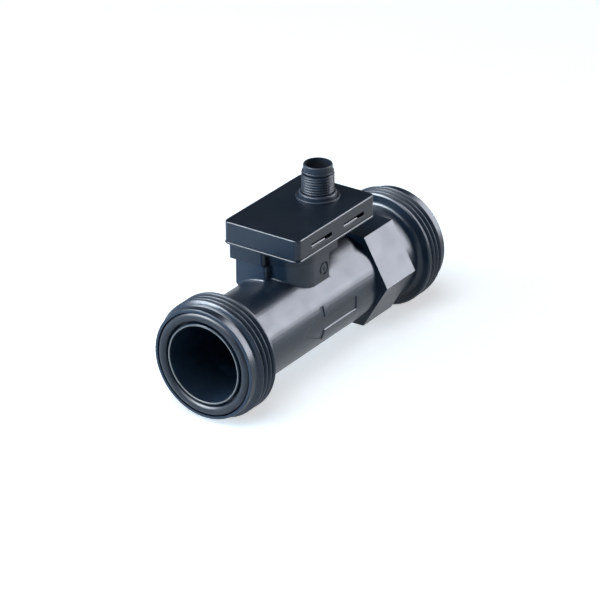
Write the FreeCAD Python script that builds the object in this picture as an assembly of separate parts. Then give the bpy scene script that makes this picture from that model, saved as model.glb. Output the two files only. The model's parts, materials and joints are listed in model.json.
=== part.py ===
import FreeCAD, Part
import math
import os

from FreeCAD import Vector

os.makedirs("parts", exist_ok=True)

# Flow tube: the flow runs along +X, and the inlet end face stands at x = 0
tube_length = 125.3
pipe_r = 16.9
mouth_r = 14.5
throat_r = 12.5
inlet_mouth_depth = 26.0
outlet_mouth_depth = 20.0
bore_taper_length = 8.0
root_fillet = 0.8

# Pipe ends: each thread stands as a plain cylinder over its crests, behind a collar just below its roots
thread_r = 22.4
thread_height = 1.48
thread_length = 9.75
thread_end_chamfer = 0.5
collar_length = 3.15
collar_drop = 0.07
collar_round = 0.35
lip_wall = 0.8
lip_round = 0.4
neck_fillet = 2.0

# O-rings in the end faces
end_seal_section = 3.6
end_seal_lip_gap = 0.65
end_seal_proud = 0.5
end_seal_clearance = 0.15

# Spanner hexagon behind the inlet thread, with a round neck before it
hex_across_flats = 36.0
hex_length = 18.8
neck_length = 7.55
neck_step = 0.1

# Sensor pedestal moulded on the tube
sensor_x = 72.55
pedestal_r = 11.6
pedestal_top = 22.3
pedestal_rear_reach = 8.8
pedestal_corner_r = 1.0
front_boss_reach = 14.9
front_boss_width = 13.25
front_boss_y = -6.42
front_boss_underside = 12.6
front_boss_edge_r = 1.7
rear_boss_reach = 13.1
rear_boss_width = 9.0

# Moulding date recess on the pedestal's side
clock_r = 2.3
clock_hub_r = 1.55
clock_depth = 0.3
clock_offset = 6.2
clock_drop = 5.1

# Bluff body across the throat
bluff_spacing = 16.3
bluff_length = 8.0
bluff_front_width = 7.0
bluff_rear_width = 2.6
bluff_front_land = 1.2
bluff_tongue = 2.0

# Sensor probe behind the bluff body
probe_r = 5.6
probe_clearance = 0.05
probe_flange_width = 1.2
probe_flange_thickness = 1.6
probe_foot_dip = 0.5
probe_groove_lift = 3.0
probe_groove_depth = 1.2
probe_groove_height = 1.7
probe_seal_round = 0.5
probe_gasket_thickness = 0.6
probe_gasket_bore_r = 4.0
paddle_length = 7.0
paddle_thickness = 2.4
paddle_tip_thickness = 1.8
paddle_tip_z = -6.0

# Piezo strip in the paddle, its potting and its leads
piezo_width = 4.4
piezo_thickness = 0.8
piezo_length = 20.0
piezo_tip_wall = 2.0
lead_wire_r = 0.3
lead_pitch = 2.54
solder_reach = 0.8

# Housing base
housing_length = 49.4
housing_width = 32.2
housing_setback = 7.1
housing_corner_r = 2.3
base_wall = 1.6
base_flange_thickness = 0.9
base_edge_round = 0.4
skirt_height = 6.6
skirt_overhang = 0.3
skirt_rear_reach = 13.7
skirt_boss_rear_reach = 3.3
skirt_boss_width = 15.05
skirt_boss_y = -8.22
skirt_boss_corner_r = 1.2
upstand_wall = 1.2
upstand_height = 2.0

# Screws that hold the base on the tube
screw_r = 1.25
screw_clearance = 0.05
screw_engagement = 5.6
screw_head_r = 2.25
screw_head_height = 1.7
screw_socket_r = 0.9
screw_socket_depth = 0.9
front_screw_reach = 7.0
front_screw_y = -6.5
rear_screw_reach = 9.6

# Snap-fit cover
cover_gap = 0.25
cover_height = 7.6
cover_wall = 1.6
cover_edge_round = 0.5
cover_seal_thickness = 0.85
cover_seal_height = 1.4
cover_seal_clearance = 0.05
window_length = 12.9
window_height = 1.6
window_lift = 1.95
rear_window_offset = -10.85
front_window_offset = 9.75
hook_length = 8.4
hook_shift = 1.55
hook_reach = 1.7
hook_clearance = 0.1
hook_lead = 1.2

# Circuit board on four pegs of the base
board_margin = 0.8
board_thickness = 1.2
board_lift = 1.6
board_hole_clearance = 0.1
post_r = 1.6
post_inset = 2.4
peg_r = 0.8
peg_height = 0.6
processor_side = 7.0
processor_height = 1.2
processor_x = 6.2
processor_y = -5.6
amplifier_length = 5.0
amplifier_width = 4.0
amplifier_height = 1.5
amplifier_x = 0.2
amplifier_y = 6.4
regulator_length = 6.4
regulator_width = 3.6
regulator_height = 1.7
regulator_x = 10.6
regulator_y = 6.4
capacitor_r = 2.2
capacitor_height = 2.8
capacitor_x = 14.4
capacitor_y = -0.4
capacitor_pitch = 5.0

# M12 connector
connector_setback = 11.5
connector_flange_r = 8.05
connector_flange_thickness = 0.8
connector_bead_r = 6.95
connector_bead_height = 1.5
connector_thread_r = 6.0
connector_thread_length = 7.7
connector_relief_r = 5.8
connector_relief_length = 0.55
connector_sleeve_r = 5.35
connector_sleeve_length = 2.4
connector_rim_round = 0.4
connector_socket_r = 4.65
connector_chamfer = 0.3
connector_stem_length = 3.6
connector_stem_clearance = 0.08
connector_seal_inner_r = 6.5
connector_seal_width = 1.1
connector_seal_height = 0.5
nut_across_flats = 15.5
nut_height = 1.5
carrier_face_depth = 9.0
carrier_clearance = 0.04
key_width = 1.3
key_height = 0.7
key_drop = 1.2
contact_r = 0.5
contact_circle_r = 2.5
contact_rise = 5.0
contact_count = 4
contact_clearance = 0.03

# Tube stations and radii that follow from the sizes above
neck_r = hex_across_flats / 2 - neck_step
thread_root_r = thread_r - thread_height
collar_r = thread_root_r - collar_drop
thread_lead_in = thread_r - collar_r
thread_end_r = thread_r - thread_end_chamfer
lip_r = mouth_r + lip_wall
end_seal_mean_r = lip_r + end_seal_lip_gap + end_seal_section / 2
seal_groove_depth = end_seal_section - end_seal_proud
seal_groove_r = end_seal_mean_r + end_seal_section / 2 + end_seal_clearance
thread_end = collar_length + thread_length
hex_start = thread_end + neck_length
hex_end = hex_start + hex_length
core_r = (pipe_r + throat_r) / 2
bluff_x = sensor_x - bluff_spacing

# Sensor and housing places that follow
sensor_place = (sensor_x, 0.0)
pedestal_rear_x = sensor_x - pedestal_rear_reach
front_boss_x = sensor_x + front_boss_reach
rear_boss_x = sensor_x - rear_boss_reach
skirt_r = pedestal_r + skirt_overhang
skirt_rear_x = sensor_x - skirt_rear_reach
probe_flange_r = probe_r + probe_flange_width
probe_foot_z = throat_r - probe_foot_dip
probe_groove_z = probe_foot_z + probe_groove_lift
gasket_bottom = pedestal_top - probe_gasket_thickness
probe_seat_z = gasket_bottom - probe_flange_thickness
piezo_foot_z = paddle_tip_z + piezo_tip_wall
piezo_top = piezo_foot_z + piezo_length
screw_places = ((sensor_x + front_screw_reach, front_screw_y), (sensor_x - rear_screw_reach, 0.0))
housing_x = sensor_x - housing_setback
floor_top = pedestal_top + base_wall
base_flange_z = pedestal_top + skirt_height
base_flange_top = base_flange_z + base_flange_thickness
upstand_inset = cover_wall + cover_seal_thickness + 2 * cover_seal_clearance
cover_bottom = base_flange_top + cover_gap
cover_top = cover_bottom + cover_height
cover_ceiling = cover_top - cover_wall
window_bottom = cover_bottom + window_lift
window_top = window_bottom + window_height
window_offsets = (rear_window_offset, front_window_offset)

# Board and connector places that follow
board_inset = upstand_inset + upstand_wall + board_margin
board_length = housing_length - 2 * board_inset
board_width = housing_width - 2 * board_inset
board_bottom = base_flange_top + board_lift
board_top = board_bottom + board_thickness
connector_place = (housing_x - connector_setback, 0.0)
connector_seal_outer_r = connector_seal_inner_r + connector_seal_width
flange_top = cover_top + connector_flange_thickness
bead_top = flange_top + connector_bead_height
connector_thread_top = bead_top + connector_thread_length
relief_top = connector_thread_top + connector_relief_length
connector_top = relief_top + connector_sleeve_length
stem_bottom = cover_top - connector_stem_length
carrier_face = connector_top - carrier_face_depth


def box(x_span, y_span, z_span):
    size = (x_span[1] - x_span[0], y_span[1] - y_span[0], z_span[1] - z_span[0])
    return Part.makeBox(*size, Vector(x_span[0], y_span[0], z_span[0]))


def centred(middle, length):
    return (middle - length / 2, middle + length / 2)


def disc(place, r, z_span):
    return Part.makeCylinder(r, z_span[1] - z_span[0], Vector(place[0], place[1], z_span[0]))


def ring(place, inner_r, outer_r, z_span):
    return disc(place, outer_r, z_span).cut(disc(place, inner_r, z_span))


def rounded_wire(points, to_space):
    # A closed outline; a point's third number is the radius of its corner
    count = len(points)
    corners = [Vector(point[0], point[1], 0) for point in points]
    radii = [point[2] if len(point) > 2 else 0 for point in points]
    edges = []
    ends = []
    for i, corner in enumerate(corners):
        before = (corners[i - 1] - corner).normalize()
        after = (corners[(i + 1) % count] - corner).normalize()
        half_angle = before.getAngle(after) / 2
        reach = radii[i] / math.tan(half_angle)
        arrive = to_space(corner + before * reach)
        leave = to_space(corner + after * reach)
        ends.append((arrive, leave))
        if radii[i]:
            rise = radii[i] / math.sin(half_angle) - radii[i]
            crown = to_space(corner + (before + after).normalize() * rise)
            edges.append(Part.Arc(arrive, crown, leave).toShape())
    for i in range(count):
        edges.append(Part.LineSegment(ends[i - 1][1], ends[i][0]).toShape())
    return Part.Wire(Part.__sortEdges__(edges))


def turned_about_x(points):
    wire = rounded_wire(points, lambda p: Vector(p.x, 0, p.y))
    return Part.Face(wire).revolve(Vector(0, 0, 0), Vector(1, 0, 0), 360)


def turned_about_z(points, place):
    wire = rounded_wire(points, lambda p: Vector(place[0] + p.x, place[1], p.y))
    return Part.Face(wire).revolve(Vector(place[0], place[1], 0), Vector(0, 0, 1), 360)


def upright_prism(points, z_span):
    wire = rounded_wire(points, lambda p: Vector(p.x, p.y, z_span[0]))
    return Part.Face(wire).extrude(Vector(0, 0, z_span[1] - z_span[0]))


def rounded_plate(inset, z_span):
    # The housing's outline, drawn in from its outer face by the inset
    x0, x1 = centred(housing_x, housing_length - 2 * inset)
    y0, y1 = centred(0, housing_width - 2 * inset)
    r = max(housing_corner_r - inset, housing_corner_r / 5)
    return upright_prism([(x0, y0, r), (x1, y0, r), (x1, y1, r), (x0, y1, r)], z_span)


def arch_prism(rear_x, r, z_span):
    # A block with straight sides and a round front about the sensor's axis
    floor = Vector(0, 0, z_span[0])
    rear_left = Vector(rear_x, r, 0) + floor
    rear_right = Vector(rear_x, -r, 0) + floor
    front_left = Vector(sensor_x, r, 0) + floor
    front_right = Vector(sensor_x, -r, 0) + floor
    front = Vector(sensor_x + r, 0, 0) + floor
    edges = [
        Part.LineSegment(rear_left, rear_right).toShape(),
        Part.LineSegment(rear_right, front_right).toShape(),
        Part.Arc(front_right, front, front_left).toShape(),
        Part.LineSegment(front_left, rear_left).toShape(),
    ]
    return Part.Face(Part.Wire(edges)).extrude(Vector(0, 0, z_span[1] - z_span[0]))


def hexagon_about_x(across_flats, x_span):
    corner_r = across_flats / math.sqrt(3)
    corners = [math.radians(60 * i) for i in range(7)]
    points = [Vector(x_span[0], corner_r * math.cos(a), corner_r * math.sin(a)) for a in corners]
    face = Part.Face(Part.makePolygon(points))
    return face.extrude(Vector(x_span[1] - x_span[0], 0, 0))


def pipe_end(face, inward):
    # Outline of one end, from the mouth over the lip, the seal groove and the collar to the thread's back
    def at(depth, r, corner_r=0):
        return (face + inward * depth, r, corner_r)
    return [
        at(0, mouth_r),
        at(0, lip_r, lip_round),
        at(seal_groove_depth, lip_r),
        at(seal_groove_depth, seal_groove_r),
        at(0, seal_groove_r),
        at(0, collar_r, collar_round),
        at(collar_length, collar_r),
        at(collar_length + thread_lead_in, thread_r),
        at(thread_end - thread_end_chamfer, thread_r),
        at(thread_end, thread_end_r),
    ]


def tube_shell():
    inlet = pipe_end(0, 1) + [
        (thread_end, neck_r, neck_fillet),
        (hex_start, neck_r),
        (hex_start, pipe_r),
    ]
    outlet = pipe_end(tube_length, -1) + [(tube_length - thread_end, pipe_r, root_fillet)]
    bore = [
        (tube_length - outlet_mouth_depth, mouth_r),
        (tube_length - outlet_mouth_depth - bore_taper_length, throat_r),
        (inlet_mouth_depth + bore_taper_length, throat_r),
        (inlet_mouth_depth, mouth_r),
    ]
    return turned_about_x(inlet + outlet[::-1] + bore)


def spanner_hexagon():
    solid = hexagon_about_x(hex_across_flats, (hex_start, hex_end))
    core = Part.makeCylinder(core_r, hex_length, Vector(hex_start, 0, 0), Vector(1, 0, 0))
    return solid.cut(core)


def pedestal():
    z_span = (0, pedestal_top)
    r = pedestal_corner_r
    y0, y1 = centred(front_boss_y, front_boss_width)
    half = rear_boss_width / 2
    front_boss = upright_prism(
        [(sensor_x, y0), (front_boss_x, y0, r), (front_boss_x, y1, r), (sensor_x, y1)], z_span)
    rear_boss = upright_prism(
        [(rear_boss_x, -half, r), (sensor_x, -half), (sensor_x, half), (rear_boss_x, half, r)], z_span)
    block = arch_prism(pedestal_rear_x, pedestal_r, z_span).fuse([front_boss, rear_boss])
    core = Part.makeCylinder(core_r, tube_length, Vector(0, 0, 0), Vector(1, 0, 0))
    return block.cut(core)


def front_boss_relief():
    # The space under the front boss's overhanging side, down beside the pipe
    side = front_boss_y - front_boss_width / 2
    inner = side + front_boss_edge_r
    clear = side - root_fillet
    shoulder = front_boss_underside + front_boss_edge_r
    crown = front_boss_edge_r * (1 - math.sqrt(0.5))
    x0 = sensor_x - root_fillet
    def at(y, z):
        return Vector(x0, y, z)
    wire = Part.Wire([
        Part.LineSegment(at(0, 0), at(clear, 0)).toShape(),
        Part.LineSegment(at(clear, 0), at(clear, shoulder)).toShape(),
        Part.LineSegment(at(clear, shoulder), at(side, shoulder)).toShape(),
        Part.Arc(at(side, shoulder), at(side + crown, front_boss_underside + crown),
                 at(inner, front_boss_underside)).toShape(),
        Part.LineSegment(at(inner, front_boss_underside), at(0, front_boss_underside)).toShape(),
        Part.LineSegment(at(0, front_boss_underside), at(0, 0)).toShape(),
    ])
    length = front_boss_reach + 2 * root_fillet
    pipe = Part.makeCylinder(pipe_r, length, Vector(x0, 0, 0), Vector(1, 0, 0))
    return Part.Face(wire).extrude(Vector(length, 0, 0)).cut(pipe)


def date_clock():
    inward = Vector(0, -1, 0)
    centre = Vector(sensor_x - clock_offset, pedestal_r, pedestal_top - clock_drop)
    recess = Part.makeCylinder(clock_r, clock_depth, centre, inward)
    return recess.cut(Part.makeCylinder(clock_hub_r, clock_depth, centre, inward))


def bluff_solid():
    # Blunt face upstream, sides that narrow downstream
    half_front = bluff_front_width / 2
    half_rear = bluff_rear_width / 2
    reach = throat_r + bluff_tongue
    outline = [
        (bluff_x, -half_front),
        (bluff_x + bluff_front_land, -half_front),
        (bluff_x + bluff_length, -half_rear),
        (bluff_x + bluff_length, half_rear),
        (bluff_x + bluff_front_land, half_front),
        (bluff_x, half_front),
    ]
    return upright_prism(outline, (-reach, reach))


def meets_pipe(edge):
    # True for an edge of the pedestal that runs along the pipe's surface
    span = edge.LastParameter - edge.FirstParameter
    for share in (0.1, 0.5, 0.8):
        point = edge.valueAt(edge.FirstParameter + share * span)
        beside = rear_boss_x - root_fillet < point.x < front_boss_x + root_fillet
        on_pipe = abs(math.hypot(point.y, point.z) - pipe_r) < root_fillet / 1000
        if not (beside and on_pipe and point.z > 0):
            return False
    return True


def measuring_tube():
    tube = tube_shell().fuse([spanner_hexagon(), pedestal()]).removeSplitter()
    tube = tube.makeFillet(root_fillet, [e for e in tube.Edges if meets_pipe(e)])
    probe_bore = disc(sensor_place, probe_r + probe_clearance, (0, pedestal_top))
    probe_seat = disc(sensor_place, probe_flange_r + probe_clearance, (probe_seat_z, pedestal_top))
    screw_span = (pedestal_top - screw_engagement, pedestal_top)
    screw_holes = [disc(p, screw_r + screw_clearance, screw_span) for p in screw_places]
    tube = tube.cut([probe_bore, probe_seat, bluff_solid(), date_clock(), front_boss_relief()] + screw_holes)
    return tube.removeSplitter()


def end_seals():
    half = end_seal_section / 2
    middle = seal_groove_depth - half
    forward = Vector(1, 0, 0)
    inlet = Part.makeTorus(end_seal_mean_r, half, Vector(middle, 0, 0), forward)
    outlet = Part.makeTorus(end_seal_mean_r, half, Vector(tube_length - middle, 0, 0), forward)
    return Part.makeCompound([inlet, outlet])


def piezo_pocket(z_span):
    return box(centred(sensor_x, piezo_width), centred(0, piezo_thickness), z_span)


def paddle():
    # A fin along the flow, thinner at its free tip
    def outline(thickness, z):
        half_length = paddle_length / 2
        half = thickness / 2
        nose = Vector(sensor_x - half_length, 0, z)
        tail = Vector(sensor_x + half_length, 0, z)
        front = Vector(sensor_x - half_length + half, 0, z)
        back = Vector(sensor_x + half_length - half, 0, z)
        side = Vector(0, half, 0)
        return Part.Wire([
            Part.Arc(front + side, nose, front - side).toShape(),
            Part.LineSegment(front - side, back - side).toShape(),
            Part.Arc(back - side, tail, back + side).toShape(),
            Part.LineSegment(back + side, front + side).toShape(),
        ])
    root = outline(paddle_thickness, probe_foot_z)
    tip = outline(paddle_tip_thickness, paddle_tip_z)
    return Part.makeLoft([tip, root], True)


def sensor_probe():
    groove_top = probe_groove_z + probe_groove_height
    groove_r = probe_r - probe_groove_depth
    plug = turned_about_z([
        (0, probe_foot_z),
        (probe_r, probe_foot_z),
        (probe_r, probe_groove_z),
        (groove_r, probe_groove_z),
        (groove_r, groove_top),
        (probe_r, groove_top),
        (probe_r, probe_seat_z),
        (probe_flange_r, probe_seat_z),
        (probe_flange_r, gasket_bottom),
        (0, gasket_bottom),
    ], sensor_place)
    return plug.fuse(paddle()).cut(piezo_pocket((piezo_foot_z, gasket_bottom)))


def piezo_element():
    return piezo_pocket((piezo_foot_z, piezo_top))


def lead_places():
    return [(sensor_x - lead_pitch / 2, 0.0), (sensor_x + lead_pitch / 2, 0.0)]


def lead_wires(r):
    span = (piezo_top, board_top + solder_reach)
    return [disc(place, r, span) for place in lead_places()]


def probe_potting():
    return piezo_pocket((piezo_top, gasket_bottom)).cut(lead_wires(lead_wire_r))


def probe_o_ring():
    inner_r = probe_r - probe_groove_depth
    outer_r = probe_r + probe_clearance
    top = probe_groove_z + probe_groove_height
    r = probe_seal_round
    return turned_about_z([
        (inner_r, probe_groove_z, r),
        (outer_r, probe_groove_z, r),
        (outer_r, top, r),
        (inner_r, top, r),
    ], sensor_place)


def probe_gasket():
    return ring(sensor_place, probe_gasket_bore_r, probe_flange_r, (gasket_bottom, pedestal_top))


def skirt_prism(inset, z_span):
    r = skirt_boss_corner_r
    y0, y1 = centred(skirt_boss_y, skirt_boss_width - 2 * inset)
    front = front_boss_x - inset
    rear = sensor_x - skirt_boss_rear_reach + inset
    boss = upright_prism([(rear, y0), (front, y0, r), (front, y1, r), (rear, y1)], z_span)
    return arch_prism(skirt_rear_x + inset, skirt_r - inset, z_span).fuse(boss)


def board_post_places():
    dx = board_length / 2 - post_inset
    dy = board_width / 2 - post_inset
    return [(housing_x + sx * dx, sy * dy) for sx in (-1, 1) for sy in (-1, 1)]


def board_posts():
    # A post above the hollow of the skirt stands on the base's floor
    above_flange = rounded_plate(upstand_inset, (base_flange_z, board_bottom))
    envelope = above_flange.fuse(skirt_prism(0, (pedestal_top, base_flange_z)))
    posts = []
    for place in board_post_places():
        post = disc(place, post_r, (pedestal_top, board_bottom)).common(envelope)
        peg = disc(place, peg_r, (board_bottom, board_top + peg_height))
        posts.append(post.fuse(peg))
    return posts


def snap_hooks():
    # Springy tongues on the upstand, with sloped noses that reach into the cover's windows
    hooks = []
    outer_y = housing_width / 2 - upstand_inset
    inner_y = outer_y - upstand_wall
    nose_y = outer_y + hook_reach
    nose_bottom = window_bottom + hook_clearance
    nose_top = window_top - hook_clearance
    section = [
        (inner_y, base_flange_top),
        (outer_y, base_flange_top),
        (outer_y, nose_bottom),
        (nose_y, nose_bottom),
        (nose_y, nose_top),
        (outer_y, nose_top + hook_lead),
        (inner_y, nose_top + hook_lead),
    ]
    for offset in window_offsets:
        x0, x1 = centred(housing_x + offset + hook_shift, hook_length)
        for side in (1, -1):
            wire = rounded_wire(section, lambda p: Vector(x0, side * p.x, p.y))
            hooks.append(Part.Face(wire).extrude(Vector(x1 - x0, 0, 0)))
    return hooks


def housing_base():
    flange = rounded_plate(0, (base_flange_z, base_flange_top))
    lower_edges = [e for e in flange.Edges if e.BoundBox.ZMax < base_flange_z + base_edge_round]
    flange = flange.makeFillet(base_edge_round, lower_edges)
    skirt = skirt_prism(0, (pedestal_top, base_flange_z))
    upstand_span = (base_flange_top, base_flange_top + upstand_height)
    upstand = rounded_plate(upstand_inset, upstand_span)
    upstand = upstand.cut(rounded_plate(upstand_inset + upstand_wall, upstand_span))
    hollow = skirt_prism(base_wall, (floor_top, base_flange_top))
    base = flange.fuse([skirt]).cut(hollow).fuse([upstand] + board_posts() + snap_hooks())
    floor_span = (pedestal_top, floor_top)
    holes = [disc(place, screw_r + 2 * screw_clearance, floor_span) for place in screw_places]
    holes.append(disc(sensor_place, probe_gasket_bore_r, floor_span))
    return base.cut(holes).removeSplitter()


def base_screws():
    screws = []
    for place in screw_places:
        shank = disc(place, screw_r, (pedestal_top - screw_engagement, floor_top))
        head_top = floor_top + screw_head_height
        head = disc(place, screw_head_r, (floor_top, head_top))
        socket = disc(place, screw_socket_r, (head_top - screw_socket_depth, head_top))
        screws.append(shank.fuse(head).cut(socket).removeSplitter())
    return Part.makeCompound(screws)


def housing_cover():
    span = (cover_bottom, cover_top)
    cover = rounded_plate(0, span)
    top_edges = [e for e in cover.Edges if e.BoundBox.ZMin > cover_top - cover_edge_round]
    cover = cover.makeFillet(cover_edge_round, top_edges)
    cover = cover.cut(rounded_plate(cover_wall, (cover_bottom, cover_ceiling)))
    windows = []
    for offset in window_offsets:
        x_span = centred(housing_x + offset, window_length)
        windows.append(box(x_span, (-housing_width, housing_width), (window_bottom, window_top)))
    stem_hole = disc(connector_place, connector_thread_r + connector_stem_clearance,
                     (cover_ceiling, cover_top))
    return cover.cut(windows + [stem_hole])


def cover_seal():
    outer_inset = cover_wall + cover_seal_clearance
    span = (base_flange_top, base_flange_top + cover_seal_height)
    inner = rounded_plate(outer_inset + cover_seal_thickness, span)
    return rounded_plate(outer_inset, span).cut(inner)


def contact_places():
    places = []
    for i in range(contact_count):
        angle = math.radians(45 + 360 * i / contact_count)
        x = connector_place[0] + contact_circle_r * math.cos(angle)
        places.append((x, contact_circle_r * math.sin(angle)))
    return places


def circuit_board():
    z_span = (board_bottom, board_top)
    board = box(centred(housing_x, board_length), centred(0, board_width), z_span)
    peg_holes = [disc(p, peg_r + board_hole_clearance, z_span) for p in board_post_places()]
    pin_holes = [disc(p, contact_r + board_hole_clearance, z_span) for p in contact_places()]
    lead_holes = [disc(p, lead_wire_r + board_hole_clearance, z_span) for p in lead_places()]
    return board.cut(peg_holes + pin_holes + lead_holes)


def chip(length, width, height, x, y):
    return box(centred(housing_x + x, length), centred(y, width), (board_top, board_top + height))


def filter_capacitors():
    span = (board_top, board_top + capacitor_height)
    rows = centred(capacitor_y, capacitor_pitch)
    return Part.makeCompound([disc((housing_x + capacitor_x, y), capacitor_r, span) for y in rows])


def connector_shell():
    c = connector_chamfer
    seal_top = cover_top + connector_seal_height
    profile = [
        (connector_socket_r, stem_bottom),
        (connector_thread_r, stem_bottom),
        (connector_thread_r, cover_top),
        (connector_seal_inner_r, cover_top),
        (connector_seal_inner_r, seal_top),
        (connector_seal_outer_r, seal_top),
        (connector_seal_outer_r, cover_top),
        (connector_flange_r, cover_top),
        (connector_flange_r, flange_top, c),
        (connector_bead_r, flange_top),
        (connector_bead_r, bead_top, connector_bead_height / 2),
        (connector_thread_r - c, bead_top),
        (connector_thread_r, bead_top + c),
        (connector_thread_r, connector_thread_top - c),
        (connector_relief_r, connector_thread_top),
        (connector_relief_r, relief_top, c),
        (connector_sleeve_r, relief_top),
        (connector_sleeve_r, connector_top, connector_rim_round),
        (connector_socket_r, connector_top),
    ]
    return turned_about_z(profile, connector_place)


def connector_o_ring():
    span = (cover_top, cover_top + connector_seal_height)
    return ring(connector_place, connector_seal_inner_r, connector_seal_outer_r, span)


def connector_nut():
    corner_r = nut_across_flats / math.sqrt(3)
    bottom = cover_ceiling - nut_height
    corners = []
    for i in range(6):
        angle = math.radians(60 * i)
        corners.append((connector_place[0] + corner_r * math.cos(angle), corner_r * math.sin(angle)))
    nut = upright_prism(corners, (bottom, cover_ceiling))
    hole_r = connector_thread_r + connector_stem_clearance
    return nut.cut(disc(connector_place, hole_r, (bottom, cover_ceiling)))


def contact_carrier():
    r = connector_socket_r - carrier_clearance
    body = disc(connector_place, r, (stem_bottom, carrier_face))
    key_outer_x = connector_place[0] + r
    key = box((key_outer_x - key_height, key_outer_x), centred(0, key_width),
              (carrier_face, connector_top - key_drop))
    key = key.common(disc(connector_place, r, (carrier_face, connector_top)))
    span = (stem_bottom, carrier_face)
    pockets = [disc(p, contact_r + contact_clearance, span) for p in contact_places()]
    return body.fuse(key).cut(pockets).removeSplitter()


def contact_pins():
    pins = []
    tip = carrier_face + contact_rise
    for place in contact_places():
        pin = disc(place, contact_r, (board_bottom - solder_reach, tip))
        tip_edge = [e for e in pin.Edges if e.BoundBox.ZMin > tip - contact_r]
        pins.append(pin.makeFillet(contact_r * 0.8, tip_edge))
    return Part.makeCompound(pins)


pieces = {
    "measuring_tube": measuring_tube(),
    "end_seals": end_seals(),
    "bluff_body": bluff_solid(),
    "sensor_probe": sensor_probe(),
    "piezo_element": piezo_element(),
    "probe_potting": probe_potting(),
    "probe_leads": Part.makeCompound(lead_wires(lead_wire_r)),
    "probe_o_ring": probe_o_ring(),
    "probe_gasket": probe_gasket(),
    "housing_base": housing_base(),
    "base_screws": base_screws(),
    "housing_cover": housing_cover(),
    "cover_seal": cover_seal(),
    "circuit_board": circuit_board(),
    "processor_chip": chip(processor_side, processor_side, processor_height, processor_x, processor_y),
    "amplifier_chip": chip(amplifier_length, amplifier_width, amplifier_height, amplifier_x, amplifier_y),
    "voltage_regulator": chip(regulator_length, regulator_width, regulator_height, regulator_x, regulator_y),
    "filter_capacitors": filter_capacitors(),
    "connector_shell": connector_shell(),
    "connector_o_ring": connector_o_ring(),
    "connector_nut": connector_nut(),
    "contact_carrier": contact_carrier(),
    "contact_pins": contact_pins(),
}

for node, shape in pieces.items():
    shape.exportStep("parts/" + node + ".step")
    print(node, len(shape.Solids), round(shape.Volume, 1), shape.isValid())
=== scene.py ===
import bpy
import json
import math
from mathutils import Matrix, Vector


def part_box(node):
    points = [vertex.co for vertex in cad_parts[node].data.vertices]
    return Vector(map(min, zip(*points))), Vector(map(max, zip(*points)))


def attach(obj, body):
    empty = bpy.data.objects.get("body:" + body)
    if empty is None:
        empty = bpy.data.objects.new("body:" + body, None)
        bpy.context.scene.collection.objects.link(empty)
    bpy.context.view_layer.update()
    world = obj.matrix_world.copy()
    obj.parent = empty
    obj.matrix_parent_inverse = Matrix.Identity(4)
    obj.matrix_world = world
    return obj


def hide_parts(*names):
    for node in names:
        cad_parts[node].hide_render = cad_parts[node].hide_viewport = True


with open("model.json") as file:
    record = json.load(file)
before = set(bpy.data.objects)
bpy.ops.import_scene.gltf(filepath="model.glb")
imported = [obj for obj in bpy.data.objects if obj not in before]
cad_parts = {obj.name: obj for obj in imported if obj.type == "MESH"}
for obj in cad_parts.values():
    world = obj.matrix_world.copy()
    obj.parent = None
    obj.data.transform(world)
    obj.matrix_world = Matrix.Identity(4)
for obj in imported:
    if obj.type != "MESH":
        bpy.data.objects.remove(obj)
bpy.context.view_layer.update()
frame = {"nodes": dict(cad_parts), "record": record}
nodes = frame["nodes"]
mounts = {mount["name"]: mount for mount in frame["record"]["mounts"]}
mm = 0.001
mergeDistance = 0.002 * mm
print("frame loaded:", len(nodes), "nodes")


# small tools for the modelling below

def onlyActive(obj):
    bpy.ops.object.select_all(action="DESELECT")
    obj.select_set(True)
    bpy.context.view_layer.objects.active = obj


def editAll(obj):
    onlyActive(obj)
    bpy.ops.object.mode_set(mode="EDIT")
    bpy.ops.mesh.select_mode(type="VERT")
    bpy.ops.mesh.select_all(action="SELECT")


def editMembers(obj, members):
    onlyActive(obj)
    bpy.ops.object.mode_set(mode="EDIT")
    bpy.ops.mesh.select_mode(type="VERT")
    bpy.ops.mesh.select_all(action="DESELECT")
    bpy.ops.object.mode_set(mode="OBJECT")
    for vertex in obj.data.vertices:
        vertex.select = vertex.index in members
    bpy.ops.object.mode_set(mode="EDIT")


def editWhere(obj, test):
    editMembers(obj, {vertex.index for vertex in obj.data.vertices if test(vertex.co / mm)})


def backToObject():
    bpy.ops.object.mode_set(mode="OBJECT")


def applied(obj, kind, **settings):
    onlyActive(obj)
    modifier = obj.modifiers.new(kind.lower(), kind)
    for name, value in settings.items():
        setattr(modifier, name, value)
    bpy.ops.object.modifier_apply(modifier=modifier.name)


def boolean(obj, tool, operation):
    applied(obj, "BOOLEAN", operation=operation, solver="EXACT", object=tool)
    bpy.data.objects.remove(tool)
    return obj


def smoothed(obj, angle):
    # large faces keep their own normals, so the shading turns only in the narrow ones beside them
    onlyActive(obj)
    bpy.ops.object.shade_smooth_by_angle(angle=math.radians(angle))
    applied(obj, "WEIGHTED_NORMAL", keep_sharp=True)


def joinFlats(obj):
    editAll(obj)
    bpy.ops.mesh.dissolve_limited(angle_limit=math.radians(0.5))
    backToObject()


def easedEdges(obj, width):
    applied(obj, "BEVEL", width=width * mm, segments=3, limit_method="ANGLE",
            angle_limit=math.radians(40))


def mergedCopy(nodeName, pieceName):
    piece = nodes[nodeName].copy()
    piece.data = nodes[nodeName].data.copy()
    piece.name = piece.data.name = pieceName
    for key in list(piece.keys()):
        del piece[key]
    piece.parent = None
    bpy.context.collection.objects.link(piece)
    onlyActive(piece)
    bpy.ops.mesh.customdata_custom_splitnormals_clear()
    editAll(piece)
    bpy.ops.mesh.remove_doubles(threshold=mergeDistance)
    backToObject()
    return piece


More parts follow.
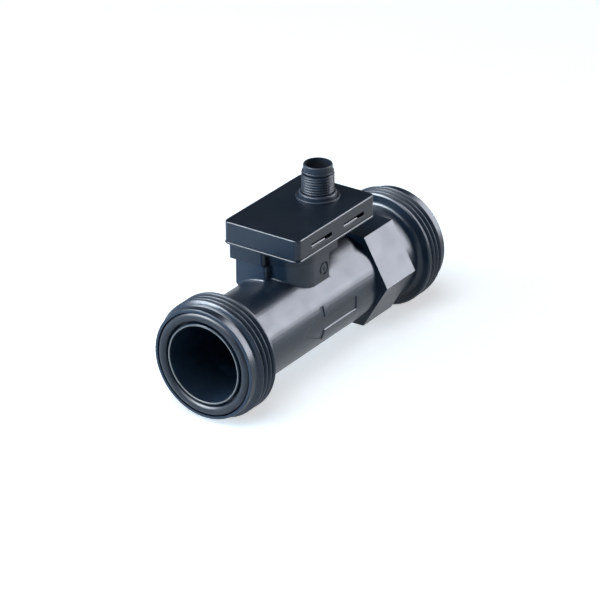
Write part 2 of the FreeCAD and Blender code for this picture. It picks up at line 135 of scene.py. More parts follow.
def drawLine(name, points):
    # a plane shrunk to one vertex, then extruded from point to point
    bpy.ops.object.select_all(action="DESELECT")
    bpy.ops.mesh.primitive_plane_add(size=mm)
    line = bpy.context.object
    line.name = line.data.name = name
    editAll(line)
    bpy.ops.mesh.merge(type="CENTER")
    bpy.ops.transform.translate(value=Vector(points[0]) * mm)
    for start, end in zip(points, points[1:]):
        step = (Vector(end) - Vector(start)) * mm
        bpy.ops.mesh.extrude_region_move(TRANSFORM_OT_translate={"value": step})
    backToObject()
    return line


def closedFace(name, points):
    face = drawLine(name, points)
    editAll(face)
    bpy.ops.mesh.edge_face_add()
    backToObject()
    return face


def turned(name, outline, axis, steps):
    # outline is a closed line of (along, radius), turned about the axis
    upright = axis == "Z"
    points = [(r, 0, along) if upright else (along, 0, r) for along, r in outline]
    body = drawLine(name, points + points[:1])
    editAll(body)
    bpy.ops.mesh.remove_doubles(threshold=mergeDistance)
    direction = (0, 0, 1) if upright else (1, 0, 0)
    bpy.ops.mesh.spin(steps=steps, angle=2 * math.pi, center=(0, 0, 0), axis=direction)
    bpy.ops.mesh.select_all(action="SELECT")
    bpy.ops.mesh.remove_doubles(threshold=mergeDistance)
    bpy.ops.mesh.normals_make_consistent(inside=False)
    backToObject()
    return body


def arcPoints(centre, radius, startAngle, endAngle, count):
    points = []
    for i in range(count + 1):
        angle = math.radians(startAngle + (endAngle - startAngle) * i / count)
        points.append((centre[0] + radius * math.cos(angle), centre[1] + radius * math.sin(angle)))
    return points


def threadedRod(name, thread, axis, span):
    # one pitch of the thread's outline, wound up by the screw modifier and cut square at both ends
    pitch = thread["pitch"]
    major = thread["majorR"]
    minor = thread["minorR"]
    r = thread["crestRound"]
    tilt = thread["flankAngle"]
    crest = thread["crestAt"]
    outline = arcPoints((crest - pitch / 2, minor + r), r, 270, 360 - tilt, 3)
    outline += arcPoints((crest, major - r), r, 180 - tilt, tilt, 6)
    outline += arcPoints((crest + pitch / 2, minor + r), r, 180 + tilt, 270, 3)
    back = math.ceil((crest - span[0]) / pitch) + 1
    turns = math.ceil((span[1] - span[0]) / pitch) + 3
    points = [(along - back * pitch, 0, radius) for along, radius in outline]
    if axis == "Z":
        points = [(radius, 0, along) for along, _, radius in points]
    rod = drawLine(name, points)
    applied(rod, "SCREW", axis=axis, screw_offset=pitch * mm, iterations=turns, steps=thread["steps"],
            render_steps=thread["steps"], use_normal_calculate=True)
    editAll(rod)
    bpy.ops.mesh.remove_doubles(threshold=mergeDistance)
    along = Vector((0, 0, 1)) if axis == "Z" else Vector((1, 0, 0))
    for end, side in ((span[0], -1), (span[1], 1)):
        bpy.ops.mesh.select_all(action="SELECT")
        bpy.ops.mesh.bisect(plane_co=along * end * mm, plane_no=along * side,
                            use_fill=True, clear_outer=True)
    bpy.ops.mesh.select_all(action="SELECT")
    bpy.ops.mesh.normals_make_consistent(inside=False)
    backToObject()
    return rod


# measuring tube: the CAD body with eased mouths, trimmed collars, cut threads, a sunk flow arrow
# and the date mark, which is a ring with a pointer

tube = {
    "length": mounts["outlet_port"]["pos_m"][0] / mm,
    "mouthR": mounts["inlet_port"]["dims"]["r_mm"],
    "mouthBevel": 0.22,
    "lipHighlightDepth": 0.3,  # the painted highlight on the lip: how far in from the end face, and out to which radius
    "lipHighlightR": 14.95,
    "thread": {
        "pitch": 2.309,
        "majorR": mounts["inlet_thread"]["dims"]["r_mm"] - 0.04,  # a hair is cut off the whole crest
        "minorR": 20.92,
        "crestRound": 0.4,
        "flankAngle": 27.5,
        "steps": 160,
    },
    "collarR": 20.85,
    "collarRound": 0.35,
    "collarLength": 3.15,
    "trim": 0.03,
    "trimSteps": 160,
    "threadStart": 2,
    "threadRunOut": (10.9, 12.3),  # where root and crest end, from the end face
    "ringSteps": 128,
    "inletCrest": 7.385,
    "outletCrest": 118.385,
    "pipeR": 16.9,
    "gridSpan": (42, 108),
    "gridCuts": 24,
    "gridTurns": 36,
    "arrowTip": 87.35,
    "arrowBarbs": 73.85,
    "arrowTail": 53.55,
    "arrowMiddle": -0.6,
    "arrowHalf": 2.6,
    "arrowHeadHalf": 6.9,
    "arrowDepth": 0.45,
    "arrowDraft": 16,
    "arrowEdge": 0.16,
    "arrowEdgeSlope": 52,
    "arrowSteps": 192,
    "filledClockX": 66.35,  # the solid's own ring, which is filled
    "filledClockR": 2.4,
    "clockPlace": (67.2, 11.6, 17.2),
    "clockRing": (2.0, 2.6),
    "clockDepth": 0.5,
    "clockSteps": 64,
    "pointerHalf": 0.22,
    "pointerHeadHalf": 0.62,
    "pointerReach": 1.05,
    "pointerDepth": 0.25,
    "smoothAngle": 40,
}


def bevelMouths(piece):
    def onMouth(place):
        atEnd = min(abs(place.x), abs(place.x - tube["length"])) < 0.01
        return atEnd and abs(math.hypot(place.y, place.z) - tube["mouthR"]) < 0.05

    editWhere(piece, onMouth)
    bpy.ops.mesh.select_mode(type="EDGE")
    bpy.ops.mesh.bevel(offset=tube["mouthBevel"] * mm, segments=3, affect="EDGES")
    backToObject()


def endTrimmer(name, face, inward):
    # a ring that takes a hair off the collar and the lead-in, and leaves evenly turned surfaces
    r = tube["collarR"]
    corner = tube["collarRound"]
    trim = tube["trim"]
    start = tube["collarLength"]
    clear = 0.1
    rise = 2
    top = r + 3
    slant = 1.414  # the lead-in slopes at 45 degrees
    outline = [(-clear, r - corner - trim - clear)]
    outline += arcPoints((corner, r - corner), corner - trim, 180, 90, 4)
    outline.append((start + (slant - 1) * trim, r - trim))
    outline.append((start + rise, r + rise - slant * trim))
    outline.append((start + rise, top))
    outline.append((-clear, top))
    places = [(face + inward * depth, radius) for depth, radius in outline]
    return turned(name, places, "X", tube["trimSteps"])


def threadCutter(name, face, inward, crestAt):
    # a ring over the plain thread cylinder, less the threaded rod: what is left is the groove,
    # which runs out on the ring's sloped inner end
    thread = {**tube["thread"], "crestAt": crestAt}
    clear = 0.5
    overrun = 2
    inner = thread["minorR"] - clear
    outer = thread["majorR"] + clear
    start = tube["threadStart"]
    rootEnd, crestEnd = tube["threadRunOut"]
    outline = [(start, inner), (start, outer), (crestEnd, outer), (rootEnd, inner)]
    places = [(face + inward * depth, radius) for depth, radius in outline]
    ring = turned(name, places, "X", tube["ringSteps"])
    middle = face + inward * (start + crestEnd) / 2
    reach = (crestEnd - start) / 2 + overrun
    rod = threadedRod(name + "Rod", thread, "X", (middle - reach, middle + reach))
    return boolean(ring, rod, "DIFFERENCE")


def wrapOnPipe(piece):
    # each row of a flat plate is swung to its own angle about the pipe's axis
    rows = {}
    for vertex in piece.data.vertices:
        rows.setdefault(round(vertex.co.z / mm, 3), set()).add(vertex.index)
    for row, members in rows.items():
        editMembers(piece, members)
        bpy.ops.transform.translate(value=(0, 0, -row * mm))
        bpy.ops.transform.rotate(value=-row / tube["pipeR"], orient_axis="X", center_override=(0, 0, 0))
        backToObject()


def arrowCutter():
    # the outline is widened above the pipe, then inset twice on the way down: a wide eased edge,
    # then steep walls; a core as large as the arrow's floor is taken out at the end
    middle = tube["arrowMiddle"]
    above = 0.4
    below = 0.9
    rows = 9
    rowShift = 0.37
    overrun = 3
    hollow = 0.5
    edge = tube["arrowEdge"]
    widen = (above + edge) * math.tan(math.radians(tube["arrowEdgeSlope"]))
    narrow = (below - edge) * math.tan(math.radians(tube["arrowDraft"]))
    headAngle = math.atan2(tube["arrowHeadHalf"], tube["arrowTip"] - tube["arrowBarbs"])
    tip = tube["arrowTip"] + widen / math.sin(headAngle)
    barbs = tube["arrowBarbs"] - widen
    tail = tube["arrowTail"] - widen
    half = tube["arrowHalf"] + widen
    head = (tip - barbs) * math.tan(headAngle)
    high = tube["pipeR"] + above
    outline = [
        (tail, -half),
        (barbs, -half),
        (barbs, -head),
        (tip, 0),
        (barbs, head),
        (barbs, half),
        (tail, half),
    ]
    cutter = closedFace("arrowCutter", [(x, high, middle + z) for x, z in outline])
    editAll(cutter)
    for inset, drop in ((widen, above + edge), (narrow, below - edge)):
        bpy.ops.mesh.inset(thickness=inset * mm, depth=0)
        bpy.ops.transform.translate(value=(0, -drop * mm, 0))
    bpy.ops.mesh.select_mode(type="EDGE")
    bpy.ops.mesh.select_all(action="DESELECT")
    bpy.ops.mesh.select_non_manifold()
    bpy.ops.mesh.edge_face_add()
    for i in range(-rows, rows):
        bpy.ops.mesh.select_all(action="SELECT")
        bpy.ops.mesh.bisect(plane_co=(0, 0, (i + rowShift) * mm), plane_no=(0, 0, 1))
    bpy.ops.mesh.select_all(action="SELECT")
    bpy.ops.mesh.normals_make_consistent(inside=False)
    backToObject()
    wrapOnPipe(cutter)
    floorR = tube["pipeR"] - tube["arrowDepth"]
    start = tail - overrun
    end = tip + overrun
    core = [(start, hollow), (start, floorR), (end, floorR), (end, hollow)]
    return boolean(cutter, turned("arrowCore", core, "X", tube["arrowSteps"]), "DIFFERENCE")


def pointerCutter():
    x, y, z = tube["clockPlace"]
    half = tube["pointerHalf"]
    head = tube["pointerHeadHalf"]
    reach = tube["pointerReach"]
    inside = y - tube["pointerDepth"]
    outline = [
        (x - half, inside, z - reach),
        (x + half, inside, z - reach),
        (x + half, inside, z),
        (x + head, inside, z),
        (x, inside, z + reach),
        (x - head, inside, z),
        (x - half, inside, z),
    ]
    cutter = closedFace("pointerCutter", outline)
    editAll(cutter)
    rise = (0, 2 * tube["pointerDepth"] * mm, 0)
    bpy.ops.mesh.extrude_region_move(TRANSFORM_OT_translate={"value": rise})
    bpy.ops.mesh.select_all(action="SELECT")
    bpy.ops.mesh.normals_make_consistent(inside=False)
    backToObject()
    return cutter


def facingY(name, outline, x):
    # a turned body stood on the pedestal's flat side, its axis swung from +Z to +Y
    body = turned(name, outline, "Z", tube["clockSteps"])
    onlyActive(body)
    body.rotation_euler = (-math.pi / 2, 0, 0)
    body.location = Vector((x, *tube["clockPlace"][1:])) * mm
    bpy.ops.object.transform_apply(location=True, rotation=True, scale=False)
    return body


def clockPlug():
    r = tube["filledClockR"]
    root = -1
    proud = 0.01
    outline = [(root, 0), (root, r), (proud, r), (proud, 0)]
    return facingY("clockPlug", outline, tube["filledClockX"])


def clockCutter():
    inner, outer = tube["clockRing"]
    depth = tube["clockDepth"]
    outline = [(-depth, inner), (-depth, outer), (depth, outer), (depth, inner)]
    return facingY("clockCutter", outline, tube["clockPlace"][0])


def gridPipe(piece):
    # even cross cuts and long cuts, so that the arrow meets short faces only
    cuts = tube["gridCuts"]
    turns = tube["gridTurns"]
    start, end = tube["gridSpan"]

    def onPipe(place):
        return start - 0.1 < place.x < end + 0.1

    editAll(piece)
    for i in range(cuts):
        x = start + (end - start) * i / (cuts - 1)
        bpy.ops.mesh.select_all(action="SELECT")
        bpy.ops.mesh.bisect(plane_co=(x * mm, 0, 0), plane_no=(1, 0, 0))
    backToObject()
    for i in range(turns):
        angle = math.radians(180 * (i + 0.5) / turns)
        editWhere(piece, onPipe)
        bpy.ops.mesh.bisect(plane_co=(0, 0, 0), plane_no=(0, math.cos(angle), math.sin(angle)))
        backToObject()


def buildTube():
    piece = mergedCopy("measuring_tube", "measuringTube")
    bevelMouths(piece)
    gridPipe(piece)
    boolean(piece, endTrimmer("inletTrim", 0, 1), "DIFFERENCE")
    boolean(piece, endTrimmer("outletTrim", tube["length"], -1), "DIFFERENCE")
    boolean(piece, threadCutter("inletThread", 0, 1, tube["inletCrest"]), "DIFFERENCE")
    boolean(piece, threadCutter("outletThread", tube["length"], -1, tube["outletCrest"]), "DIFFERENCE")
    boolean(piece, arrowCutter(), "DIFFERENCE")
    boolean(piece, clockPlug(), "UNION")
    boolean(piece, clockCutter(), "DIFFERENCE")
    boolean(piece, pointerCutter(), "DIFFERENCE")
    smoothed(piece, tube["smoothAngle"])
    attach(piece, "root")
    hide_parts("measuring_tube")
    return piece


measuringTube = buildTube()
print("tube:", len(measuringTube.data.polygons), "faces")


# housing: the CAD cover and base with eased edges, a spread rim under the cover and low, sloped
# hook noses in its windows

housing = {
    "coverGap": 0.25,
    "flange": 0.9,
    "cornerR": 2.3,
    "rimDepth": 0.45,
    "rimSpread": 0.15,
    "rimEdge": 0.42,
    "edge": 0.18,
    "noseDepth": 1,  # the noses lie less than this inside the cover's sides
    "noseLift": 2.05,
    "noseShare": 0.3,
    "noseReach": 0.5,
    "noseSlope": 0.32,
    "tongueDepth": 5,
    "tongueTop": 4.65,
    "tongueDrop": 2.0,
    "smoothAngle": 35,
}


def buildCover():
    piece = mergedCopy("housing_cover", "housingCover")
    joinFlats(piece)
    easedEdges(piece, housing["edge"])
    smoothed(piece, housing["smoothAngle"])
    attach(piece, "root")
    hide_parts("housing_cover")
    return piece


def coverPlace():
    low, high = (Vector(corner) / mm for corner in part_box("housing_cover"))
    return low, (low + high) / 2, (high - low) / 2


def spreadRim(piece):
    # the outer faces of the base's flange are spread a little, and its upper edge is rounded
    low, centre, half = coverPlace()
    flangeTop = low.z - housing["coverGap"]
    r = housing["cornerR"]
    slack = 0.01

    def onRim(place):
        dx = abs(place.x - centre.x) - half.x + r
        dy = abs(place.y - centre.y) - half.y + r
        reach = math.hypot(dx, dy) if min(dx, dy) > 0 else max(dx, dy)
        inHeight = flangeTop - housing["flange"] - slack < place.z < flangeTop + slack
        return inHeight and reach > r - housing["rimDepth"]

    editWhere(piece, onRim)
    spread = Vector((1 + housing["rimSpread"] / half.x, 1 + housing["rimSpread"] / half.y, 1))
    bpy.ops.transform.resize(value=spread, center_override=(centre.x * mm, centre.y * mm, 0))
    backToObject()
    editWhere(piece, lambda place: onRim(place) and place.z > flangeTop - 0.05)
    bpy.ops.mesh.select_mode(type="EDGE")
    bpy.ops.mesh.bevel(offset=housing["rimEdge"] * mm, segments=3, affect="EDGES")
    backToObject()


def lowerHooks(piece):
    # each hook's nose becomes a low bar near the cover's face, with its top sloped back,
    # and the tongue behind it is cut down to suit
    low, _, half = coverPlace()
    noseBottom = low.z + housing["noseLift"]

    def onNose(place):
        above = place.z > low.z - housing["coverGap"] + 1
        return above and abs(place.y) > half.y - housing["noseDepth"]

    def onTongue(place):
        atTop = abs(place.z - low.z - housing["tongueTop"]) < 0.03
        return atTop and abs(place.y) > half.y - housing["tongueDepth"]

    def onSide(place, side):
        return onNose(place) and place.y * side > 0

    editWhere(piece, onNose)
    flatten = (1, 1, housing["noseShare"])
    bpy.ops.transform.resize(value=flatten, center_override=(0, 0, noseBottom * mm))
    backToObject()
    editWhere(piece, onTongue)
    bpy.ops.transform.translate(value=(0, 0, -housing["tongueDrop"] * mm))
    backToObject()
    for side in (-1, 1):
        editWhere(piece, lambda place: onSide(place, side))
        bpy.ops.transform.translate(value=(0, side * housing["noseReach"] * mm, 0))
        backToObject()
        editWhere(piece, lambda place: onSide(place, side) and place.z > noseBottom + 0.2)
        bpy.ops.transform.translate(value=(0, -side * housing["noseSlope"] * mm, 0))
        backToObject()


def buildBase():
    piece = mergedCopy("housing_base", "housingBase")
    joinFlats(piece)
    spreadRim(piece)
    lowerHooks(piece)
    easedEdges(piece, housing["edge"])
    smoothed(piece, housing["smoothAngle"])
    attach(piece, "root")
    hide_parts("housing_base")
    return piece


housingCover = buildCover()
housingBase = buildBase()
print("housing:", len(housingCover.data.polygons) + len(housingBase.data.polygons), "faces")


# connector: the CAD shell, thinned to its core, with the fine thread put back on it

connector = {
    "thread": {
        "pitch": 1.0,
        "majorR": mounts["connector_thread"]["dims"]["r_mm"],
        "minorR": 5.39,
        "crestRound": 0.1,
        "flankAngle": 30,
        "crestAt": 40.35,
        "steps": 96,
    },
    "axisX": mounts["connector_thread"]["pos_m"][0] / mm,
    "span": (39.95, 47.65),
    "coreR": 5.3,
    "overlap": 0.4,
    "chamfer": 0.4,
    "ringSteps": 96,
    "smoothAngle": 28,
}


def buildConnector():
    thread = connector["thread"]
    start, end = connector["span"]
    piece = mergedCopy("connector_shell", "connectorShell")
    axis = Vector((connector["axisX"], 0, 0))

    def isCrest(place):
        r = math.hypot(place.x - axis.x, place.y)
        return start + 0.05 < place.z < end - 0.05 and r > thread["minorR"]

    editWhere(piece, isCrest)
    share = connector["coreR"] / thread["majorR"]
    bpy.ops.transform.resize(value=(share, share, 1), center_override=axis * mm)
    backToObject()
    clear = 0.1
    overrun = 1
    outer = thread["majorR"] + clear
    inner = connector["coreR"] - connector["overlap"]
    bevel = connector["chamfer"] + clear
    outline = [
        (start, inner),
        (start, outer),
        (end - bevel, outer),
        (end, outer - bevel),
        (end, inner),
    ]
    blank = turned("connectorThread", outline, "Z", connector["ringSteps"])
    rod = threadedRod("connectorRod", thread, "Z", (start - overrun, end + overrun))
    boolean(blank, rod, "INTERSECT")
    onlyActive(blank)
    blank.location = axis * mm
    bpy.ops.object.transform_apply(location=True, rotation=False, scale=False)
    boolean(piece, blank, "UNION")
    smoothed(piece, connector["smoothAngle"])
    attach(piece, "root")
    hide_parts("connector_shell")
    return piece


connectorShell = buildConnector()
print("connector:", len(connectorShell.data.polygons), "faces")


# finishes: moulded plastics, rubber, metals and resins, all on one grain

grain = {
    "fineDetail": 3,
    "cloudDetail": 4,
    "fibreStretch": 0.25,
    "toneSpan": (0.12, 0.4),
    "roughSpan": (0.3, 0.7),
    "relief": 0.3,
    "reliefDepth": 0.03,
}


def grainGroup():
    # moulded grain: a cloudy tone, fine fibres along the flow and a small-scale relief
    group = bpy.data.node_groups.new("mouldedGrain", "ShaderNodeTree")
    sockets = group.interface
    for name, kind in (("Dark", "NodeSocketColor"), ("Light", "NodeSocketColor"),
                       ("Grain Scale", "NodeSocketFloat"), ("Cloud Scale", "NodeSocketFloat"),
                       ("Roughness Low", "NodeSocketFloat"), ("Roughness High", "NodeSocketFloat")):
        sockets.new_socket(name=name, in_out="INPUT", socket_type=kind)
    for name, kind in (("Colour", "NodeSocketColor"), ("Roughness", "NodeSocketFloat"),
                       ("Height", "NodeSocketFloat")):
        sockets.new_socket(name=name, in_out="OUTPUT", socket_type=kind)
    new = group.nodes.new
    link = group.links.new
    start = new("NodeGroupInput")
    end = new("NodeGroupOutput")
    place = new("ShaderNodeTexCoord")
    fine = new("ShaderNodeTexNoise")
    fine.inputs["Detail"].default_value = grain["fineDetail"]
    cloud = new("ShaderNodeTexNoise")
    cloud.inputs["Detail"].default_value = grain["cloudDetail"]
    fibre = new("ShaderNodeTexNoise")
    stretch = new("ShaderNodeMapping")
    stretch.inputs["Scale"].default_value = (grain["fibreStretch"], 1, 1)
    link(place.outputs["Object"], fine.inputs["Vector"])
    link(place.outputs["Object"], cloud.inputs["Vector"])
    link(place.outputs["Object"], stretch.inputs["Vector"])
    link(stretch.outputs["Vector"], fibre.inputs["Vector"])
    link(start.outputs["Grain Scale"], fine.inputs["Scale"])
    link(start.outputs["Grain Scale"], fibre.inputs["Scale"])
    link(start.outputs["Cloud Scale"], cloud.inputs["Scale"])
    blend = new("ShaderNodeMath")
    blend.operation = "MULTIPLY"
    link(fibre.outputs["Fac"], blend.inputs[0])
    link(cloud.outputs["Fac"], blend.inputs[1])
    tone = new("ShaderNodeMapRange")
    tone.inputs["From Min"].default_value = grain["toneSpan"][0]
    tone.inputs["From Max"].default_value = grain["toneSpan"][1]
    link(blend.outputs["Value"], tone.inputs["Value"])
    colour = new("ShaderNodeMix")
    colour.data_type = "RGBA"
    link(tone.outputs["Result"], colour.inputs["Factor"])
    link(start.outputs["Dark"], colour.inputs["A"])
    link(start.outputs["Light"], colour.inputs["B"])
    rough = new("ShaderNodeMapRange")
    link(cloud.outputs["Fac"], rough.inputs["Value"])
    rough.inputs["From Min"].default_value = grain["roughSpan"][0]
    rough.inputs["From Max"].default_value = grain["roughSpan"][1]
    link(start.outputs["Roughness Low"], rough.inputs["To Min"])
    link(start.outputs["Roughness High"], rough.inputs["To Max"])
    link(colour.outputs["Result"], end.inputs["Colour"])
    link(rough.outputs["Result"], end.inputs["Roughness"])
    link(fine.outputs["Fac"], end.inputs["Height"])
    return group


def lipHighlightGroup():
    # a painted highlight on the thin lip round each mouth, standing in for the light it catches: near
    # an end face and near the bore
    group = bpy.data.node_groups.new("paintedLipHighlight", "ShaderNodeTree")
    for name, way in (("Colour", "INPUT"), ("Lip Highlight", "INPUT"), ("Colour", "OUTPUT")):
        group.interface.new_socket(name=name, in_out=way, socket_type="NodeSocketColor")
    new = group.nodes.new
    link = group.links.new
    start = new("NodeGroupInput")
    end = new("NodeGroupOutput")
    place = new("ShaderNodeTexCoord")
    across = new("ShaderNodeVectorMath")
    across.operation = "MULTIPLY"
    across.inputs[1].default_value = (0, 1, 1)
    radius = new("ShaderNodeVectorMath")
    radius.operation = "LENGTH"
    apart = new("ShaderNodeSeparateXYZ")
    fromMiddle = new("ShaderNodeMath")
    fromMiddle.operation = "SUBTRACT"
    fromMiddle.inputs[1].default_value = tube["length"] / 2 * mm
    distance = new("ShaderNodeMath")
    distance.operation = "ABSOLUTE"
    nearEnd = new("ShaderNodeMath")
    nearEnd.operation = "GREATER_THAN"
    nearEnd.inputs[1].default_value = (tube["length"] / 2 - tube["lipHighlightDepth"]) * mm
    nearBore = new("ShaderNodeMath")
    nearBore.operation = "LESS_THAN"
    nearBore.inputs[1].default_value = tube["lipHighlightR"] * mm
    onLip = new("ShaderNodeMath")
    onLip.operation = "MULTIPLY"
    colour = new("ShaderNodeMix")
    colour.data_type = "RGBA"
    link(place.outputs["Object"], across.inputs[0])
    link(across.outputs["Vector"], radius.inputs[0])
    link(place.outputs["Object"], apart.inputs["Vector"])
    link(apart.outputs["X"], fromMiddle.inputs[0])
    link(fromMiddle.outputs["Value"], distance.inputs[0])
    link(distance.outputs["Value"], nearEnd.inputs[0])
    link(radius.outputs["Value"], nearBore.inputs[0])
    link(nearEnd.outputs["Value"], onLip.inputs[0])
    link(nearBore.outputs["Value"], onLip.inputs[1])
    link(onLip.outputs["Value"], colour.inputs["Factor"])
    link(start.outputs["Colour"], colour.inputs["A"])
    link(start.outputs["Lip Highlight"], colour.inputs["B"])
    link(colour.outputs["Result"], end.inputs["Colour"])
    return group


mouldedGrain = grainGroup()
# the paler lip is a painted highlight
paintedLipHighlight = lipHighlightGroup()


def finish(name, look):
    material = bpy.data.materials.new(name)
    material.use_nodes = True
    tree = material.node_tree
    shader = tree.nodes["Principled BSDF"]
    moulded = tree.nodes.new("ShaderNodeGroup")
    moulded.node_tree = mouldedGrain
    moulded.inputs["Dark"].default_value = (*look["dark"], 1)
    moulded.inputs["Light"].default_value = (*look["light"], 1)
    moulded.inputs["Grain Scale"].default_value = 1 / (look["grain"] * mm)
    moulded.inputs["Cloud Scale"].default_value = 1 / (look["cloud"] * mm)
    moulded.inputs["Roughness Low"].default_value = look["rough"][0]
    moulded.inputs["Roughness High"].default_value = look["rough"][1]
    bump = tree.nodes.new("ShaderNodeBump")
    bump.inputs["Strength"].default_value = look.get("relief", grain["relief"])
    bump.inputs["Distance"].default_value = grain["reliefDepth"] * mm
    link = tree.links.new
    colour = moulded.outputs["Colour"]
    # painted highlight: the lip round each mouth is coloured paler where it would catch the light
    if "lip" in look:
        lip = tree.nodes.new("ShaderNodeGroup")
        lip.node_tree = paintedLipHighlight
        lip.inputs["Lip Highlight"].default_value = (*look["lip"], 1)
        link(colour, lip.inputs["Colour"])
        colour = lip.outputs["Colour"]
    link(colour, shader.inputs["Base Color"])
    link(moulded.outputs["Roughness"], shader.inputs["Roughness"])
    link(moulded.outputs["Height"], bump.inputs["Height"])
    link(bump.outputs["Normal"], shader.inputs["Normal"])
    shader.inputs["Metallic"].default_value = look.get("metal", 0)
    shader.inputs["IOR"].default_value = look.get("ior", 1.5)
    return material


# grain and cloud are the sizes of the patterns; the tone runs from dark to light
looks = {
    "tube_plastic": {
        "dark": (0.008, 0.018, 0.034), "light": (0.013, 0.026, 0.045),
        "grain": 0.25, "cloud": 5, "rough": (0.30, 0.36), "relief": 0.25, "ior": 1.4,
        # the lip's colour is a painted highlight, paler than the plastic
        "lip": (0.17, 0.15, 0.135),
    },
    "housing_plastic": {
        "dark": (0.006, 0.013, 0.023), "light": (0.010, 0.018, 0.031),
        "grain": 0.3, "cloud": 4, "rough": (0.31, 0.35), "relief": 0.3, "ior": 1.38,
    },
    "connector_plastic": {
        "dark": (0.008, 0.015, 0.026), "light": (0.013, 0.023, 0.038),
        "grain": 0.2, "cloud": 3, "rough": (0.42, 0.50), "relief": 0.2, "ior": 1.36,
    },
    "seal_rubber": {
        "dark": (0.006, 0.010, 0.017), "light": (0.010, 0.015, 0.023),
        "grain": 0.15, "cloud": 3, "rough": (0.38, 0.46), "relief": 0.15, "ior": 1.42,
    },
    "probe_plastic": {
        "dark": (0.50, 0.51, 0.51), "light": (0.60, 0.61, 0.61),
        "grain": 0.3, "cloud": 4, "rough": (0.40, 0.50),
    },
    "piezo_ceramic": {
        "dark": (0.55, 0.50, 0.42), "light": (0.66, 0.62, 0.54),
        "grain": 0.1, "cloud": 2, "rough": (0.55, 0.65),
    },
    "potting_resin": {
        "dark": (0.03, 0.03, 0.04), "light": (0.06, 0.06, 0.07),
        "grain": 0.3, "cloud": 2, "rough": (0.18, 0.30),
    },
    "lead_copper": {
        "dark": (0.70, 0.38, 0.22), "light": (0.85, 0.50, 0.32),
        "grain": 0.1, "cloud": 1, "rough": (0.25, 0.38), "metal": 1,
    },
    "screw_steel": {
        "dark": (0.52, 0.52, 0.54), "light": (0.66, 0.66, 0.68),
        "grain": 0.1, "cloud": 1.5, "rough": (0.24, 0.36), "metal": 1,
    },
    "board_laminate": {
        "dark": (0.015, 0.10, 0.045), "light": (0.03, 0.15, 0.07),
        "grain": 0.4, "cloud": 6, "rough": (0.30, 0.42),
    },
    "chip_resin": {
        "dark": (0.015, 0.015, 0.017), "light": (0.03, 0.03, 0.033),
        "grain": 0.08, "cloud": 1.5, "rough": (0.50, 0.62),
    },
    "capacitor_can": {
        "dark": (0.66, 0.67, 0.69), "light": (0.78, 0.79, 0.80),
        "grain": 0.1, "cloud": 1.5, "rough": (0.22, 0.34), "metal": 1,
    },
    "nut_brass": {
        "dark": (0.60, 0.46, 0.24), "light": (0.74, 0.60, 0.34),
        "grain": 0.1, "cloud": 1.5, "rough": (0.26, 0.38), "metal": 1,
    },
    "contact_gold": {
        "dark": (0.80, 0.58, 0.24), "light": (0.92, 0.70, 0.34),
        "grain": 0.06, "cloud": 0.8, "rough": (0.20, 0.32), "metal": 1,
    },
}
finishes = {slotName: finish(slotName + "_finish", look) for slotName, look in looks.items()}


def dress(obj, slotName):
    if not obj.material_slots:
        obj.data.materials.append(finishes[slotName])
    for materialSlot in obj.material_slots:
        materialSlot.material = finishes[slotName]


remade = {
    "measuring_tube": measuringTube,
    "housing_cover": housingCover,
    "housing_base": housingBase,
    "connector_shell": connectorShell,
}
for nodeName, node in nodes.items():
    slotName = node.material_slots[0].material.name.split(".")[0]
    dress(remade.get(nodeName, node), slotName)
print("finishes:", len(finishes))


# studio: white cove, soft lights and the camera

studio = {
    "floorZ": -22.5,
    "floorR": 3000,
    "floorSteps": 96,
    "wallHeight": 500,
    "paperTone": (0.9, 0.9, 0.9),
    "paperRough": 0.9,
    "floorGlow": 0.56,
    "worldColour": (0.6, 0.75, 1.0),
    "worldLevel": 0.05,
    "target": (65.321, 0, 0.513),
}


def covePaper():
    # pale paper that keeps the shadow; its glow shows to the camera, in reflections and through
    # clear pieces only
    material = bpy.data.materials.new("covePaper")
    material.use_nodes = True
    tree = material.node_tree
    shader = tree.nodes["Principled BSDF"]
    shader.inputs["Base Color"].default_value = (*studio["paperTone"], 1)
    shader.inputs["Roughness"].default_value = studio["paperRough"]
    path = tree.nodes.new("ShaderNodeLightPath")
    seen = tree.nodes.new("ShaderNodeMath")
    seen.operation = "MAXIMUM"
    through = tree.nodes.new("ShaderNodeMath")
    through.operation = "MAXIMUM"
    share = tree.nodes.new("ShaderNodeMath")
    share.operation = "MULTIPLY"
    share.inputs[1].default_value = studio["floorGlow"]
    glow = tree.nodes.new("ShaderNodeEmission")
    both = tree.nodes.new("ShaderNodeAddShader")
    link = tree.links.new
    link(path.outputs["Is Camera Ray"], seen.inputs[0])
    link(path.outputs["Is Glossy Ray"], seen.inputs[1])
    link(seen.outputs["Value"], through.inputs[0])
    link(path.outputs["Is Transmission Ray"], through.inputs[1])
    link(through.outputs["Value"], share.inputs[0])
    link(share.outputs["Value"], glow.inputs["Strength"])
    link(shader.outputs["BSDF"], both.inputs[0])
    link(glow.outputs["Emission"], both.inputs[1])
    link(both.outputs["Shader"], tree.nodes["Material Output"].inputs["Surface"])
    return material


def buildCove():
    bpy.ops.object.select_all(action="DESELECT")
    bpy.ops.mesh.primitive_circle_add(vertices=studio["floorSteps"], radius=studio["floorR"] * mm,
                                      fill_type="NGON", location=(0, 0, studio["floorZ"] * mm))
    cove = bpy.context.object
    cove.name = cove.data.name = "cove"
    onlyActive(cove)
    bpy.ops.object.transform_apply(location=True)
    editAll(cove)
    bpy.ops.mesh.select_mode(type="EDGE")
    wall = (0, 0, studio["wallHeight"] * mm)
    bpy.ops.mesh.extrude_edges_move(TRANSFORM_OT_translate={"value": wall})
    backToObject()
    cove.data.materials.append(covePaper())


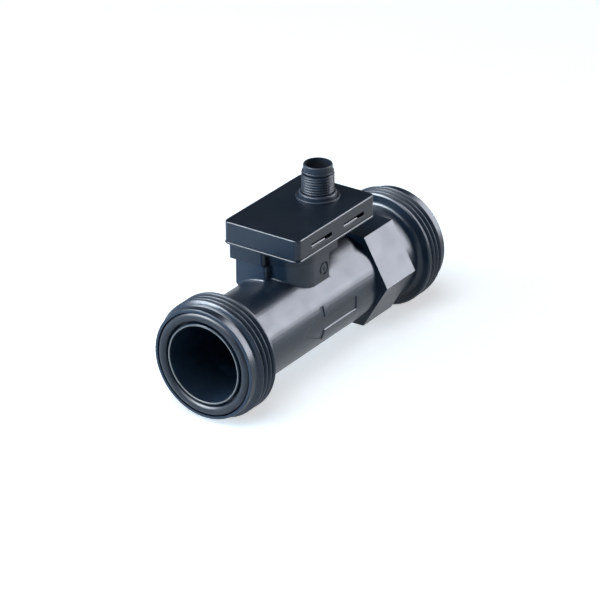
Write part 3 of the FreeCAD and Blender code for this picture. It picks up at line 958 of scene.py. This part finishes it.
def softbox(box):
    # the box faces the object, with its long side as near to the given direction as it can lie
    target = Vector(studio["target"]) * mm
    away = Vector(box["direction"]).normalized()
    along = Vector(box["along"])
    side = (along - along.dot(away) * away).normalized()
    bpy.ops.object.light_add(type="AREA", location=target + away * box["distance"] * mm)
    lamp = bpy.context.object
    lamp.name = lamp.data.name = box["name"]
    lamp.data.shape = "RECTANGLE"
    lamp.data.size = box["size"][0] * mm
    lamp.data.size_y = box["size"][1] * mm
    lamp.data.energy = box["power"]
    lamp.data.color = box["colour"]
    lamp.rotation_euler = Matrix((side, away.cross(side), away)).transposed().to_euler()
    lamp.visible_camera = False
    lamp.visible_diffuse = box["rays"] != "gloss"
    lamp.visible_glossy = box["rays"] != "diffuse"


# the boxes marked gloss are seen in reflections only, the others light only the diffuse colours
softboxes = [
    {"name": "rightStrip", "direction": (-0.73, 0.464, 0.497), "along": (0, -0.73, 0.68),
     "distance": 750, "size": (800, 280), "power": 13.5,
     "colour": (0.87, 0.90, 1.0), "rays": "gloss"},
    {"name": "rightLow", "direction": (-0.73, 0.675, 0.11), "along": (0, -0.16, 0.98),
     "distance": 750, "size": (150, 280), "power": 1.1,
     "colour": (0.87, 0.92, 1.0), "rays": "gloss"},
    {"name": "leftSoftbox", "direction": (0.46, -0.55, 0.70), "along": (0.8, 0.55, 0),
     "distance": 1000, "size": (700, 520), "power": 48.0,
     "colour": (0.86, 0.93, 1.0), "rays": "gloss"},
    {"name": "topStrip", "direction": (0.62, -0.05, 0.78), "along": (0, 1, 0),
     "distance": 800, "size": (500, 300), "power": 7.0,
     "colour": (0.90, 0.94, 1.0), "rays": "gloss"},
    {"name": "ceiling", "direction": (0.45, 0.1, 0.88), "along": (0, 1, 0),
     "distance": 1400, "size": (1000, 1000), "power": 12.5,
     "colour": (0.80, 0.92, 1.0), "rays": "diffuse"},
    {"name": "frontFill", "direction": (0.8, -0.55, 0.16), "along": (0.55, 0.8, 0),
     "distance": 900, "size": (800, 300), "power": 13.0,
     "colour": (0.46, 0.75, 1.0), "rays": "diffuse"},
]

buildCove()
for box in softboxes:
    softbox(box)

world = bpy.data.worlds.new("studioWorld")
bpy.context.scene.world = world
world.use_nodes = True
background = world.node_tree.nodes["Background"]
background.inputs["Color"].default_value = (*studio["worldColour"], 1)
background.inputs["Strength"].default_value = studio["worldLevel"]

photoCamera = {
    "azimuth": 124.349,
    "elevation": 26.585,
    "distance": 1200,
    "lens": 198.986,
    "sensor": 36,
    "clip": (50, 20000),
}


def buildCamera():
    target = Vector(studio["target"]) * mm
    azimuth = math.radians(photoCamera["azimuth"])
    elevation = math.radians(photoCamera["elevation"])
    flat = math.cos(elevation)
    back = Vector((math.sin(azimuth) * flat, -math.cos(azimuth) * flat, math.sin(elevation)))
    bpy.ops.object.camera_add(location=target + back * photoCamera["distance"] * mm)
    camera = bpy.context.object
    camera.name = camera.data.name = "photoCamera"
    camera.rotation_euler = (-back).to_track_quat("-Z", "Y").to_euler()
    camera.data.lens = photoCamera["lens"]
    camera.data.sensor_width = photoCamera["sensor"]
    camera.data.clip_start = photoCamera["clip"][0] * mm
    camera.data.clip_end = photoCamera["clip"][1] * mm
    bpy.context.scene.camera = camera


buildCamera()
bpy.context.scene.view_settings.view_transform = "Standard"
print("studio ready")
